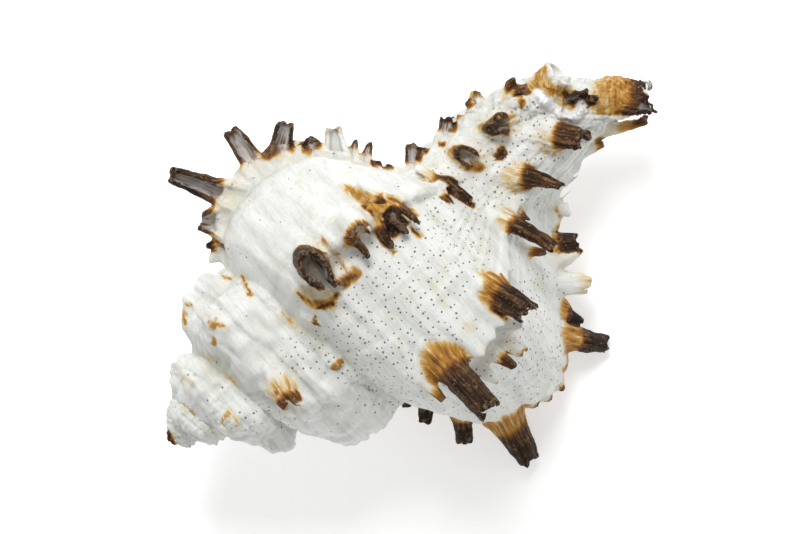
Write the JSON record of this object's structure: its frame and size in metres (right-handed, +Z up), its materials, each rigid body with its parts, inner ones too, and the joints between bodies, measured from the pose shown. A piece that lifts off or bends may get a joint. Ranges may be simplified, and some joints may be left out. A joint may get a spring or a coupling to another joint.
{
  "type": "murex shell",
  "caption": "Spiny sea snail shell with a low lumpy spire, open half-tube spines along its ribs, a long siphonal canal and an open aperture underneath, for display",
  "frame": {"origin": "middle of the bounding box in X and Y, at the height of the surface that the shell lies on", "axes": "+X runs along the shell from the apex of the spire to the tip of the siphonal canal, +Z is up, away from the surface, with the aperture underneath, and the outer lip is on the -Y side"},
  "size_m": [0.1, 0.0762, 0.057],
  "materials": {
    "shell": "chalky white calcium carbonate with dark brown spines and small dark pores"
  },
  "bodies": {
    "root": {"shell": "shell"}
  },
  "joints": []
}
